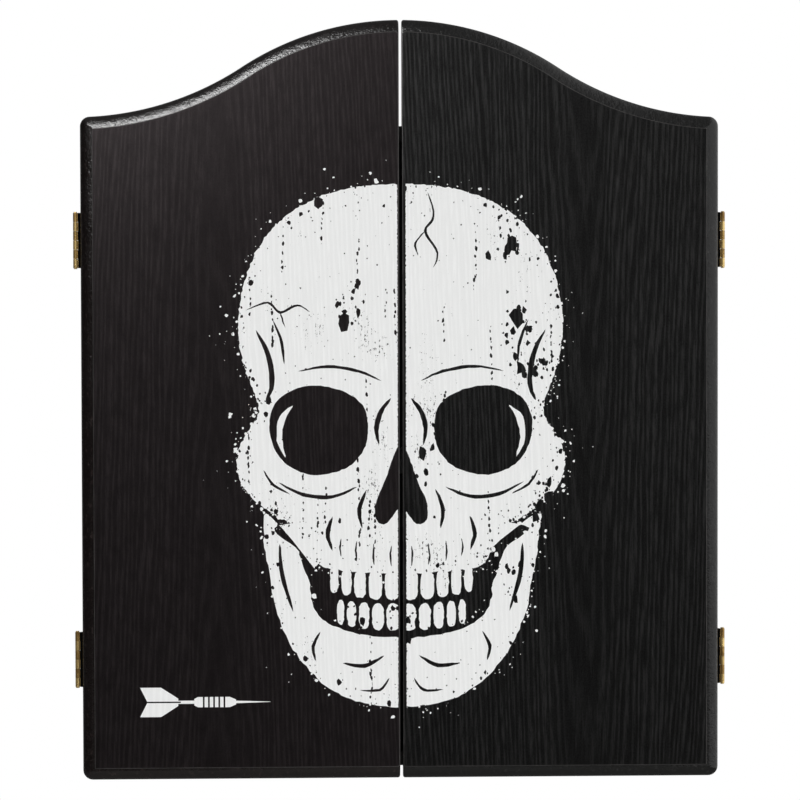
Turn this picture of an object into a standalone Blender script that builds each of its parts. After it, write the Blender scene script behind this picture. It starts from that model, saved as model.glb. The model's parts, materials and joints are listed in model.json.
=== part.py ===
"""Dart board cabinet: a shallow wall case closed by two arched doors on brass butt hinges.

Metres, +Z up. The doors face -Y and the wall is at +Y. The origin is the middle of the case's
rear face, which lies on the wall, so X = Z = 0 is the centre of the board that hangs inside.
"""

import math

import bmesh
import bpy
from mathutils import Matrix, Vector

MM = 0.001

# Doors.
DOORS_WIDTH = 520 * MM  # both doors together, over their outer edges
DOOR_GAP = 2.4 * MM  # between the two meeting edges
DOOR_THICK = 12 * MM
DOOR_OVERHANG = 9 * MM  # the doors hang this far below the case
ARCH_TOP = 347.8 * MM  # crown of the arched top edge, above the board's centre
CROWN_RADIUS = 235.5 * MM  # convex arc in the middle of the top edge
CROWN_ANGLE = math.radians(33.2)  # slope where the convex arc turns into the concave one
SHOULDER_RADIUS = 247 * MM  # concave arc that runs out to the shoulder
CORNER_RADIUS = 8 * MM  # outer corners of a door, seen from the front
MOULD_WIDTH = 10 * MM  # rounded border of a door, seen from the front
MOULD_DEPTH = 8.5 * MM  # how far that border falls back at the outer edge
MOULD_STEP = 0.6 * MM  # small step between the flat face and the border
MOULD_SWEEP = math.radians(60)  # part of a quarter ellipse that the border's section follows

# Case.
CASE_WIDTH = 516 * MM
CASE_HEIGHT = 524 * MM
CASE_DEPTH = 75 * MM
RAIL_THICK = 12 * MM
BACK_THICK = 9 * MM
REBATE = 6 * MM  # how far the back panel is let into the rails
WALL_HOLE_SPACING = 430 * MM
WALL_HOLE_RADIUS = 3.5 * MM
WALL_SEAT_RADIUS = 9 * MM  # shallow round recess for a wall screw's head
WALL_SEAT_DEPTH = 1 * MM

# Hinges. A leaf reaches inwards from the axis, and a screw's depth is counted from the leaf's face.
HINGE_LENGTH = 45 * MM
HINGE_MIDDLES = {"upper": 169 * MM, "lower": -173 * MM}  # from the board's centre
KNUCKLES = 6
KNUCKLE_RADIUS = 1.9 * MM
KNUCKLE_GAP = 0.2 * MM
FINGER_GAP = 0.4 * MM  # between a leaf and the other leaf's knuckles
PIN_RADIUS = 0.9 * MM
PIN_BORE = 1.0 * MM
PIN_HEAD_RADIUS = 1.5 * MM
PIN_HEAD = 0.6 * MM
LEAF_THICK = 0.9 * MM
LEAF_SPREAD = 0.3 * MM  # from the hinge's middle plane to the inner face of a leaf
LEAF_REACH = 14 * MM
AXIS_OUTSET = 4.5 * MM  # from a door's outer edge to the hinge axis
HINGE_SCREW_REACH = 10 * MM
HINGE_SCREW_SPACING = 27 * MM
HINGE_SCREW_SHANK = 1.25 * MM
HINGE_SCREW_RIM = 2.3 * MM
HINGE_SCREW_HEAD = 0.85 * MM
CASE_SCREW_LENGTH = 14.5 * MM
DOOR_SCREW_LENGTH = 9 * MM

# Bracket for the dart board: a pressed hat section with a U slot, open at the top.
BRACKET_THICK = 1.5 * MM
BRACKET_HALF_PLATE = 22 * MM
BRACKET_HALF_WIDTH = 38 * MM
BRACKET_HALF_HEIGHT = 25 * MM
BRACKET_STANDOFF = 8 * MM
BRACKET_SLOT_RADIUS = 4 * MM
BRACKET_SCREW_X = 30 * MM
BRACKET_SCREW_SHANK = 1.75 * MM
BRACKET_SCREW_RIM = 3.4 * MM
BRACKET_SCREW_HEAD = 2 * MM
BRACKET_SCREW_LENGTH = 10 * MM

# Magnetic catches and the strike plates that they pull on.
CATCH_X = 32 * MM
CATCH_HALF_BLOCK = 13 * MM
CATCH_HALF_EARS = 21 * MM
CATCH_EAR = 3 * MM
CATCH_HEIGHT = 13 * MM
CATCH_DEPTH = 17 * MM
CATCH_SCREW_X = 17 * MM
CATCH_SCREW_SHANK = 1.4 * MM
CATCH_SCREW_RIM = 2.7 * MM
CATCH_SCREW_HEAD = 1.8 * MM
CATCH_SCREW_LENGTH = 11.8 * MM
MAGNET_SIZE = Vector((21, 12, 6)) * MM
POLE_THICK = 1.6 * MM
POLE_NOSE = 1.1 * MM  # the pole plates stand this far out of the housing
STRIKE_SIZE = Vector((24, 1.2, 12)) * MM
STRIKE_SCREW_SHANK = 1.25 * MM
STRIKE_SCREW_RIM = 2.4 * MM
STRIKE_SCREW_HEAD = 1.1 * MM
STRIKE_SCREW_LENGTH = 9 * MM

# Scoreboards and dart racks on the inside of the doors.
SCORE_INNER_X = 20 * MM
SCORE_OUTER_X = 232 * MM
SCORE_LOW = -160 * MM
SCORE_HIGH = 225 * MM
SCORE_THICK = 2.5 * MM
RACK_MIDDLE_X = 126 * MM
RACK_HALF_LENGTH = 75 * MM
RACK_DEPTH = 17 * MM
RACK_SHELF_TOP = -197 * MM
RACK_SHELF_THICK = 8 * MM
RACK_FLANGE_TOP = -172 * MM
RACK_FLANGE_THICK = 3 * MM
RACK_CHEEK = 4 * MM
CHEEK_SET_IN = 1 * MM  # a cheek stays this far inside the ledge's own ends and front
DART_HOLE_RADIUS = 4 * MM
DART_HOLE_SPACING = 42 * MM
DART_HOLE_OUT = 9.5 * MM  # from the door to the middle of a hole

# Clearances and edges.
FIT = 0.3 * MM  # between pieces of wood or plastic that touch
METAL_FIT = 0.15 * MM  # between a metal piece and what it lies on or goes into
SINK_FIT = 0.2 * MM  # between a screw's cone and its countersink
HEAD_SET_IN = 0.02 * MM  # how far a countersunk head lies below its face
PAST = 1 * MM  # how far a cutter runs past the face that it cuts
WOOD_EASE = 0.8 * MM
SMALL_EASE = 0.4 * MM

# Worked out from the dimensions above.
HALF_DOORS = DOORS_WIDTH / 2
HALF_GAP = DOOR_GAP / 2
DOOR_BOTTOM = -CASE_HEIGHT / 2 - DOOR_OVERHANG
CASE_FRONT = -CASE_DEPTH
BACK_FRONT = -BACK_THICK
INNER_HALF_WIDTH = CASE_WIDTH / 2 - RAIL_THICK
INNER_HALF_HEIGHT = CASE_HEIGHT / 2 - RAIL_THICK
LEAF_OUTER = LEAF_SPREAD + LEAF_THICK
AXIS_X = HALF_DOORS + AXIS_OUTSET
AXIS_Y = CASE_FRONT - METAL_FIT - LEAF_OUTER
DOOR_BACK = AXIS_Y - LEAF_OUTER - METAL_FIT
DOOR_FRONT = DOOR_BACK - DOOR_THICK
KNUCKLE_PITCH = HINGE_LENGTH / KNUCKLES
BRACKET_SEAT = BACK_FRONT - METAL_FIT
CATCH_TOP = INNER_HALF_HEIGHT - FIT
CATCH_MIDDLE = CATCH_TOP - (CATCH_HEIGHT + CATCH_EAR) / 2
CATCH_SCREW_Y = CASE_FRONT + CATCH_DEPTH / 2
STRIKE_FACE = DOOR_BACK + METAL_FIT + STRIKE_SIZE.y
RACK_BACK = DOOR_BACK + FIT

SIDES = {"left": -1, "right": 1}
LEVELS = {"upper": 1, "lower": -1}


# Materials and general helpers.


def material(name, colour, roughness, metallic=0.0):
    made = bpy.data.materials.new(name)
    made.use_nodes = True
    shader = made.node_tree.nodes["Principled BSDF"]
    shader.inputs["Base Color"].default_value = (*colour, 1.0)
    shader.inputs["Roughness"].default_value = roughness
    shader.inputs["Metallic"].default_value = metallic
    return made


def make_materials():
    return {
        "veneer": material("black_ash_veneer", (0.022, 0.020, 0.021), 0.45),
        "paint": material("black_painted_wood", (0.018, 0.017, 0.017), 0.5),
        "lining": material("black_lining_board", (0.025, 0.025, 0.026), 0.7),
        "writing": material("scoreboard_face", (0.012, 0.014, 0.013), 0.6),
        "plastic": material("black_plastic", (0.02, 0.02, 0.02), 0.4),
        "brass": material("brass", (0.72, 0.52, 0.22), 0.3, 1.0),
        "steel": material("zinc_plated_steel", (0.62, 0.62, 0.6), 0.35, 1.0),
        "ferrite": material("ferrite_magnet", (0.06, 0.06, 0.065), 0.6),
    }


def add(name, bm, finish=None):
    """Turns a bmesh into a named object. With no finish, it is a cutter or a guide."""
    bmesh.ops.remove_doubles(bm, verts=bm.verts, dist=0.001 * MM)
    bmesh.ops.recalc_face_normals(bm, faces=bm.faces)
    mesh = bpy.data.meshes.new(name)
    bm.to_mesh(mesh)
    bm.free()
    obj = bpy.data.objects.new(name, mesh)
    bpy.context.scene.collection.objects.link(obj)
    if finish:
        mesh.materials.append(finish)
    else:
        obj.hide_render = True
        obj.display_type = "WIRE"
    return obj


def smooth(obj, angle=math.radians(40)):
    obj.data.shade_smooth()
    obj.data.set_sharp_from_angle(angle=angle)
    return obj


def ease(obj, width):
    """Rounds the sharp edges a little."""
    modifier = obj.modifiers.new("ease", "BEVEL")
    modifier.width = width
    modifier.segments = 2
    modifier.limit_method = "ANGLE"
    return obj


def boolean(obj, operation, other):
    modifier = obj.modifiers.new(operation.lower(), "BOOLEAN")
    modifier.operation = operation
    modifier.solver = "EXACT"
    modifier.object = other


def box_into(bm, low, high):
    """Adds a box between two opposite corners."""
    low, high = Vector(low), Vector(high)
    sides = map(abs, high - low)
    place = Matrix.Translation((low + high) / 2) @ Matrix.Diagonal((*sides, 1))
    bmesh.ops.create_cube(bm, size=1, matrix=place)


def box(name, low, high, finish=None):
    bm = bmesh.new()
    box_into(bm, low, high)
    return add(name, bm, finish)


def prism_into(bm, outline, along):
    """Adds a closed outline of 3-D points, extruded by the vector along."""
    face = bm.faces.new([bm.verts.new(point) for point in outline])
    grown = bmesh.ops.extrude_face_region(bm, geom=[face])["geom"]
    moved = [v for v in grown if isinstance(v, bmesh.types.BMVert)]
    bmesh.ops.translate(bm, verts=moved, vec=along)


def prism(name, outline, along, finish=None):
    bm = bmesh.new()
    prism_into(bm, outline, along)
    return add(name, bm, finish)


def turned_into(bm, profile, base, axis, steps):
    """Adds a solid of revolution about the line from base along axis.

    The profile is (radius, height) pairs. It runs from the axis back to the axis, or it never
    touches the axis and is closed into a ring, which makes a tube.
    """
    turn = Vector((0, 0, 1)).rotation_difference(Vector(axis)).to_matrix().to_4x4()
    place = Matrix.Translation(base) @ turn
    rings = []
    for radius, height in profile:
        count = steps if radius > 0 else 1
        angles = [2 * math.pi * i / steps for i in range(count)]
        points = [Vector((radius * math.cos(a), radius * math.sin(a), height)) for a in angles]
        rings.append([bm.verts.new(place @ point) for point in points])
    pairs = list(zip(rings, rings[1:]))
    if profile[0][0] > 0:
        pairs.append((rings[-1], rings[0]))
    for lower, upper in pairs:
        for i in range(steps):
            corners = [
                lower[i % len(lower)],
                lower[(i + 1) % len(lower)],
                upper[(i + 1) % len(upper)],
                upper[i % len(upper)],
            ]
            bm.faces.new(list(dict.fromkeys(corners)))


def drill(obj, holes, steps=12):
    """Cuts round holes: each is (mouth, direction into the piece, radius, depth)."""
    bm = bmesh.new()
    for mouth, direction, radius, depth in holes:
        profile = [(0, -PAST), (radius, -PAST), (radius, depth), (0, depth)]
        turned_into(bm, profile, mouth, direction, steps)
    boolean(obj, "DIFFERENCE", add(obj.name + "_drill", bm))


def countersink(obj, mouths, direction, rim, throat, cone, depth):
    """Cuts a countersunk hole, depth deep, at each mouth."""
    profile = [(0, -PAST), (rim, -PAST), (rim, 0), (throat, cone), (throat, depth + PAST), (0, depth + PAST)]
    bm = bmesh.new()
    for mouth in mouths:
        turned_into(bm, profile, mouth, direction, 12)
    boolean(obj, "DIFFERENCE", add(obj.name + "_sinks", bm))


def screw(name, crown, shank_radius, length, head_top, direction, finish):
    """A screw that points along direction. The crown is its head, as (radius, height) from the top down."""
    tip = 2 * shank_radius
    profile = crown + [(shank_radius, length - tip), (0, length)]
    bm = bmesh.new()
    turned_into(bm, profile, head_top, direction, 12)
    return smooth(add(name, bm, finish))


def flat_crown(rim, height, shank_radius):
    return [(0, 0), (rim, 0), (shank_radius, height)]


def pan_crown(rim, height, shank_radius):
    return [(0, 0), (0.7 * rim, 0.1 * height), (rim, 0.6 * height), (rim, height), (shank_radius, height)]


def hang_on(obj, empty):
    """Parents a piece to an empty and moves the piece's own origin there."""
    obj.data.transform(Matrix.Translation(-empty.location))
    obj.parent = empty


# The case.


def side_rail(side_name, finish):
    """An upright of L section: its rebate takes the edge of the back panel."""
    side = SIDES[side_name]
    outer, inner = side * CASE_WIDTH / 2, side * INNER_HALF_WIDTH
    step = side * (INNER_HALF_WIDTH + REBATE)
    depth = BACK_FRONT - FIT
    section = [(outer, 0), (step, 0), (step, depth), (inner, depth), (inner, CASE_FRONT), (outer, CASE_FRONT)]
    outline = [(x, y, -CASE_HEIGHT / 2) for x, y in section]
    obj = ease(prism(f"{side_name}_side_rail", outline, (0, 0, CASE_HEIGHT), finish), WOOD_EASE)
    radius = HINGE_SCREW_SHANK + METAL_FIT
    drill(obj, [((x, CASE_FRONT, z), (0, 1, 0), radius, CASE_SCREW_LENGTH) for x, z in hinge_screws_xz(side)])


def cross_rail(name, up, finish):
    """The top (up = 1) or bottom (up = -1) rail, between the uprights, with the same rebate."""
    half = INNER_HALF_WIDTH - FIT
    outer, inner = up * CASE_HEIGHT / 2, up * INNER_HALF_HEIGHT
    step = up * (INNER_HALF_HEIGHT + REBATE)
    depth = BACK_FRONT - FIT
    section = [(0, outer), (0, step), (depth, step), (depth, inner), (CASE_FRONT, inner), (CASE_FRONT, outer)]
    outline = [(-half, y, z) for y, z in section]
    return ease(prism(name, outline, (2 * half, 0, 0), finish), WOOD_EASE)


def top_rail(finish):
    obj = cross_rail("top_rail", 1, finish)
    mouths = [(x, CATCH_SCREW_Y, INNER_HALF_HEIGHT) for side in SIDES.values() for x in catch_screws_x(side)]
    drill(obj, [(mouth, (0, 0, 1), CATCH_SCREW_SHANK + METAL_FIT, CATCH_SCREW_LENGTH) for mouth in mouths])


def back_panel(finish):
    """The board let into the rebates, with four recessed holes for wall screws and two for the bracket's."""
    half_width = INNER_HALF_WIDTH + REBATE - FIT
    half_height = INNER_HALF_HEIGHT + REBATE - FIT
    obj = box("back_panel", (-half_width, BACK_FRONT, -half_height), (half_width, 0, half_height), finish)
    far = WALL_HOLE_SPACING / 2
    corners = [(x, BACK_FRONT, z) for x in (-far, far) for z in (-far, far)]
    drill(obj, [(corner, (0, 1, 0), WALL_SEAT_RADIUS, WALL_SEAT_DEPTH) for corner in corners])
    holes = [(corner, (0, 1, 0), WALL_HOLE_RADIUS, BACK_THICK + PAST) for corner in corners]
    depth = BRACKET_SCREW_LENGTH - BRACKET_SCREW_HEAD - BRACKET_THICK
    for side in SIDES.values():
        mouth = (side * BRACKET_SCREW_X, BACK_FRONT, 0)
        holes.append((mouth, (0, 1, 0), BRACKET_SCREW_SHANK + METAL_FIT, depth))
    drill(obj, holes)


def board_bracket(finish):
    """Flange, leg, raised plate, leg and flange, and the slot that the board's centre screw drops into."""
    front = BRACKET_SEAT - BRACKET_STANDOFF - BRACKET_THICK
    flange = BRACKET_SEAT - BRACKET_THICK
    inside = BRACKET_HALF_PLATE - BRACKET_THICK
    half = [
        (inside, front + BRACKET_THICK),
        (inside, BRACKET_SEAT),
        (BRACKET_HALF_WIDTH, BRACKET_SEAT),
        (BRACKET_HALF_WIDTH, flange),
        (BRACKET_HALF_PLATE, flange),
        (BRACKET_HALF_PLATE, front),
    ]
    section = half + [(-x, y) for x, y in reversed(half)]
    outline = [(x, y, -BRACKET_HALF_HEIGHT) for x, y in section]
    obj = prism("board_bracket", outline, (0, 0, 2 * BRACKET_HALF_HEIGHT), finish)

    top = BRACKET_HALF_HEIGHT + PAST
    slot = arc_points((0, 0), BRACKET_SLOT_RADIUS, math.pi, 2 * math.pi, 12)
    slot += [(BRACKET_SLOT_RADIUS, top), (-BRACKET_SLOT_RADIUS, top)]
    outline = [(x, front - PAST, z) for x, z in slot]
    boolean(obj, "DIFFERENCE", prism("bracket_slot", outline, (0, BRACKET_THICK + 2 * PAST, 0)))
    mouths = [(side * BRACKET_SCREW_X, flange, 0) for side in SIDES.values()]
    radius = BRACKET_SCREW_SHANK + METAL_FIT
    drill(obj, [(mouth, (0, 1, 0), radius, BRACKET_THICK + PAST) for mouth in mouths])


def bracket_screw(side_name, finish):
    y = BRACKET_SEAT - BRACKET_THICK - METAL_FIT - BRACKET_SCREW_HEAD
    crown = pan_crown(BRACKET_SCREW_RIM, BRACKET_SCREW_HEAD, BRACKET_SCREW_SHANK)
    top = (SIDES[side_name] * BRACKET_SCREW_X, y, 0)
    length = BRACKET_SCREW_LENGTH
    screw(f"{side_name}_bracket_screw", crown, BRACKET_SCREW_SHANK, length, top, (0, 1, 0), finish)


# Magnetic catches under the top rail, one for each door.


def catch_screws_x(side):
    """Where a catch's inner and outer screws are, along the top rail."""
    return [side * (CATCH_X - CATCH_SCREW_X), side * (CATCH_X + CATCH_SCREW_X)]


def catch_housing(side_name, finish):
    """A block with an open pocket in front, and two ears that the screws go through."""
    side = SIDES[side_name]
    x0 = side * CATCH_X
    ear_low, low = CATCH_TOP - CATCH_EAR, CATCH_TOP - CATCH_HEIGHT
    half = [(CATCH_HALF_BLOCK, low), (CATCH_HALF_BLOCK, ear_low), (CATCH_HALF_EARS, ear_low)]
    half.append((CATCH_HALF_EARS, CATCH_TOP))
    section = half + [(-x, z) for x, z in reversed(half)]
    outline = [(x0 + x, CASE_FRONT, z) for x, z in section]
    obj = ease(prism(f"{side_name}_catch_housing", outline, (0, CATCH_DEPTH, 0), finish), SMALL_EASE)
    half_x = MAGNET_SIZE.x / 2 + FIT
    half_z = MAGNET_SIZE.z / 2 + METAL_FIT + POLE_THICK + FIT
    low_corner = (x0 - half_x, CASE_FRONT - PAST, CATCH_MIDDLE - half_z)
    high_corner = (x0 + half_x, CASE_FRONT + POLE_NOSE + MAGNET_SIZE.y + FIT, CATCH_MIDDLE + half_z)
    boolean(obj, "DIFFERENCE", box(f"{side_name}_catch_pocket", low_corner, high_corner))
    mouths = [(x, CATCH_SCREW_Y, ear_low) for x in catch_screws_x(side)]
    drill(obj, [(mouth, (0, 0, 1), CATCH_SCREW_SHANK + METAL_FIT, CATCH_EAR + PAST) for mouth in mouths])


def catch_magnet(side_name, finish):
    x0 = SIDES[side_name] * CATCH_X
    back = CASE_FRONT + POLE_NOSE + MAGNET_SIZE.y
    half = MAGNET_SIZE / 2
    low = (x0 - half.x, back - MAGNET_SIZE.y, CATCH_MIDDLE - half.z)
    high = (x0 + half.x, back, CATCH_MIDDLE + half.z)
    box(f"{side_name}_catch_magnet", low, high, finish)


def catch_pole(side_name, level_name, finish):
    """A steel plate on one face of the magnet: its nose meets the strike plate."""
    x0 = SIDES[side_name] * CATCH_X
    near = CATCH_MIDDLE + LEVELS[level_name] * (MAGNET_SIZE.z / 2 + METAL_FIT)
    far = near + LEVELS[level_name] * POLE_THICK
    half = MAGNET_SIZE.x / 2
    low = (x0 - half, CASE_FRONT - POLE_NOSE, near)
    high = (x0 + half, CASE_FRONT + POLE_NOSE + MAGNET_SIZE.y, far)
    ease(box(f"{side_name}_catch_{level_name}_pole", low, high, finish), SMALL_EASE / 2)


def catch_screws(side_name, finish):
    crown = pan_crown(CATCH_SCREW_RIM, CATCH_SCREW_HEAD, CATCH_SCREW_SHANK)
    z = CATCH_TOP - CATCH_EAR - METAL_FIT - CATCH_SCREW_HEAD
    for place, x in zip(("inner", "outer"), catch_screws_x(SIDES[side_name])):
        name = f"{side_name}_catch_{place}_screw"
        screw(name, crown, CATCH_SCREW_SHANK, CATCH_SCREW_LENGTH, (x, CATCH_SCREW_Y, z), (0, 0, 1), finish)


# Hinges. The case leaf is nearer the wall (behind = 1) and the door leaf nearer the front (-1).


def hinge_screws_xz(side):
    """(x, z) of the four hinge screws along one upright."""
    x = side * (AXIS_X - HINGE_SCREW_REACH)
    offsets = (-HINGE_SCREW_SPACING / 2, HINGE_SCREW_SPACING / 2)
    return [(x, middle + offset) for middle in HINGE_MIDDLES.values() for offset in offsets]


def leaf_outline(bottom, first):
    """A leaf's plate as (reach, z): fingers reach in to every second knuckle, counted from first."""
    clear = KNUCKLE_RADIUS + FINGER_GAP
    tip = (PIN_BORE + KNUCKLE_RADIUS) / 2
    points = [(LEAF_REACH, bottom), (clear, bottom)]
    for i in range(first, KNUCKLES, 2):
        low = bottom + i * KNUCKLE_PITCH + KNUCKLE_GAP / 2
        high = low + KNUCKLE_PITCH - KNUCKLE_GAP
        points += [(clear, low), (tip, low), (tip, high), (clear, high)]
    return points + [(clear, bottom + HINGE_LENGTH), (LEAF_REACH, bottom + HINGE_LENGTH)]


def hinge_leaf(side_name, level_name, holder, behind, first, finish):
    """One leaf with its three knuckles and two countersunk holes."""
    side, up = SIDES[side_name], LEVELS[level_name]
    bottom = HINGE_MIDDLES[level_name] - HINGE_LENGTH / 2
    axis_x = side * AXIS_X
    inner_face = AXIS_Y + behind * LEAF_SPREAD
    name = f"{side_name}_{level_name}_hinge_{holder}_leaf"
    outline = [(axis_x - side * reach, inner_face, z) for reach, z in leaf_outline(bottom, first)]
    obj = smooth(prism(name, outline, (0, behind * LEAF_THICK, 0), finish))

    bm = bmesh.new()
    for i in range(first, KNUCKLES, 2):
        low = i * KNUCKLE_PITCH + KNUCKLE_GAP / 2
        high = low + KNUCKLE_PITCH - KNUCKLE_GAP
        tube = [(PIN_BORE, low), (KNUCKLE_RADIUS, low), (KNUCKLE_RADIUS, high), (PIN_BORE, high)]
        turned_into(bm, tube, (axis_x, AXIS_Y, bottom), (0, 0, 1), 16)
    boolean(obj, "UNION", smooth(add(name + "_knuckles", bm)))

    mouths = [(x, inner_face, z) for x, z in hinge_screws_xz(side) if z * up > 0]
    rim, throat = HINGE_SCREW_RIM + SINK_FIT, HINGE_SCREW_SHANK + SINK_FIT
    countersink(obj, mouths, (0, behind, 0), rim, throat, HINGE_SCREW_HEAD, LEAF_THICK)
    return obj


def case_leaf(side_name, level_name, finish):
    return hinge_leaf(side_name, level_name, "case", 1, 0, finish)


def door_leaf(side_name, level_name, finish):
    return hinge_leaf(side_name, level_name, "door", -1, 1, finish)


def hinge_pin(side_name, level_name, finish):
    """The pin that the knuckles turn on, with a flat head at each end."""
    bottom = HINGE_MIDDLES[level_name] - HINGE_LENGTH / 2
    low, high = -METAL_FIT, HINGE_LENGTH + METAL_FIT
    foot = low - PIN_HEAD
    lower_half = [(0, foot), (PIN_HEAD_RADIUS, foot), (PIN_HEAD_RADIUS, low), (PIN_RADIUS, low)]
    upper_half = [(radius, low + high - height) for radius, height in reversed(lower_half)]
    bm = bmesh.new()
    turned_into(bm, lower_half + upper_half, (SIDES[side_name] * AXIS_X, AXIS_Y, bottom), (0, 0, 1), 14)
    smooth(add(f"{side_name}_{level_name}_hinge_pin", bm, finish))


def hinge_screws(side_name, holder, behind, length, finish):
    """The four screws that hold one door's leaves, or one upright's, numbered from the top."""
    crown = flat_crown(HINGE_SCREW_RIM, HINGE_SCREW_HEAD, HINGE_SCREW_SHANK)
    y = AXIS_Y + behind * (LEAF_SPREAD + HEAD_SET_IN)
    places = sorted(hinge_screws_xz(SIDES[side_name]), key=lambda place: -place[1])
    made = []
    for number, (x, z) in enumerate(places, 1):
        name = f"{side_name}_hinge_{holder}_screw_{number}"
        made.append(screw(name, crown, HINGE_SCREW_SHANK, length, (x, y, z), (0, behind, 0), finish))
    return made


# The doors.


def arc_points(centre, radius, start, end, steps):
    """Points on an arc, with angles measured from +X towards +Z."""
    angles = [start + (end - start) * i / steps for i in range(steps + 1)]
    return [(centre[0] + radius * math.cos(a), centre[1] + radius * math.sin(a)) for a in angles]


def door_edge(inset, meeting_x, arch_steps=14, corner_steps=3):
    """The right door's edge, moved inwards by inset, from the meeting edge's foot round to its top.

    It is the bottom edge, a corner, the side, the shoulder's corner and the ogee: a concave arc
    that runs into a convex one. An inset corner sharpens into a mitre of as many points.
    """
    outer = HALF_DOORS - inset
    corner = max(CORNER_RADIUS - inset, 0)
    foot = DOOR_BOTTOM + inset
    points = [(meeting_x, foot)]
    points += arc_points((outer - corner, foot + corner), corner, -math.pi / 2, 0, corner_steps)

    crown = (0, ARCH_TOP - CROWN_RADIUS)
    reach = CROWN_RADIUS + SHOULDER_RADIUS
    valley = (reach * math.sin(CROWN_ANGLE), crown[1] + reach * math.cos(CROWN_ANGLE))
    concave, convex = SHOULDER_RADIUS + inset, CROWN_RADIUS - inset

    # The shoulder's corner touches the side and the concave arc, which gives its centre.
    centre_x = outer - corner
    centre_z = valley[1] - math.sqrt((concave + corner) ** 2 - (valley[0] - centre_x) ** 2)
    lean = math.atan2(valley[1] - centre_z, valley[0] - centre_x)
    points += arc_points((centre_x, centre_z), corner, 0, lean, corner_steps)
    start, end = lean + math.pi, 1.5 * math.pi - CROWN_ANGLE
    points += arc_points(valley, concave, start, end, arch_steps)[1:]
    start, end = math.pi / 2 - CROWN_ANGLE, math.acos(meeting_x / convex)
    points += arc_points(crown, convex, start, end, arch_steps)[1:]
    return points


def door_rings(steps=5):
    """(inset, x of the meeting edge, y) of each ring of a door's edge, from the back to the flat front."""
    half_width = MOULD_WIDTH / (1 - math.cos(MOULD_SWEEP))
    half_height = (MOULD_DEPTH - MOULD_STEP) / math.sin(MOULD_SWEEP)
    rings = [(0, HALF_GAP, DOOR_BACK)]
    for i in range(steps + 1):
        a = MOULD_SWEEP * i / steps
        y = DOOR_FRONT + MOULD_DEPTH - half_height * math.sin(a)
        rings.append((half_width * (1 - math.cos(a)), HALF_GAP, y))
    rings.append((MOULD_WIDTH + MOULD_STEP / 2, HALF_GAP + MOULD_STEP, DOOR_FRONT))
    return rings


def door_panel(side_name, finish):
    """A flat board with a rounded border on its three outer edges and an eased meeting edge."""
    side = SIDES[side_name]
    bm = bmesh.new()
    rings = []
    for inset, meeting_x, y in door_rings():
        rings.append([bm.verts.new((side * x, y, z)) for x, z in door_edge(inset, meeting_x)])
    for back, front in zip(rings, rings[1:]):
        for i in range(len(back) - 1):
            bm.faces.new([back[i], back[i + 1], front[i + 1], front[i]])
        bm.faces.new([back[-1], back[0], front[0], front[-1]])
    bm.faces.new(rings[0])
    bm.faces.new(rings[-1])
    bmesh.ops.dissolve_degenerate(bm, dist=0.001 * MM, edges=bm.edges)
    obj = smooth(add(f"{side_name}_door_panel", bm, finish))
    radius = HINGE_SCREW_SHANK + METAL_FIT
    holes = [((x, DOOR_BACK, z), (0, -1, 0), radius, DOOR_SCREW_LENGTH) for x, z in hinge_screws_xz(side)]
    mouth = (side * CATCH_X, DOOR_BACK, CATCH_MIDDLE)
    holes.append((mouth, (0, -1, 0), STRIKE_SCREW_SHANK + METAL_FIT, STRIKE_SCREW_LENGTH))
    drill(obj, holes)
    return obj


def strike_plate(side_name, finish):
    """The steel plate that a catch pulls on, with a countersunk hole in its middle."""
    x0 = SIDES[side_name] * CATCH_X
    half_x, half_z = STRIKE_SIZE.x / 2, STRIKE_SIZE.z / 2
    low = (x0 - half_x, DOOR_BACK + METAL_FIT, CATCH_MIDDLE - half_z)
    high = (x0 + half_x, STRIKE_FACE, CATCH_MIDDLE + half_z)
    obj = box(f"{side_name}_strike_plate", low, high, finish)
    rim, throat = STRIKE_SCREW_RIM + SINK_FIT, STRIKE_SCREW_SHANK + SINK_FIT
    mouth = (x0, STRIKE_FACE, CATCH_MIDDLE)
    countersink(obj, [mouth], (0, -1, 0), rim, throat, STRIKE_SCREW_HEAD, STRIKE_SIZE.y)
    return obj


def strike_screw(side_name, finish):
    crown = flat_crown(STRIKE_SCREW_RIM, STRIKE_SCREW_HEAD, STRIKE_SCREW_SHANK)
    top = (SIDES[side_name] * CATCH_X, STRIKE_FACE - HEAD_SET_IN, CATCH_MIDDLE)
    length = STRIKE_SCREW_LENGTH
    return screw(f"{side_name}_strike_screw", crown, STRIKE_SCREW_SHANK, length, top, (0, -1, 0), finish)


def scoreboard(side_name, finish):
    """The writing board on the inside of a door."""
    side = SIDES[side_name]
    low = (side * SCORE_INNER_X, DOOR_BACK + FIT, SCORE_LOW)
    high = (side * SCORE_OUTER_X, DOOR_BACK + FIT + SCORE_THICK, SCORE_HIGH)
    return ease(box(f"{side_name}_scoreboard", low, high, finish), SMALL_EASE)


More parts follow.
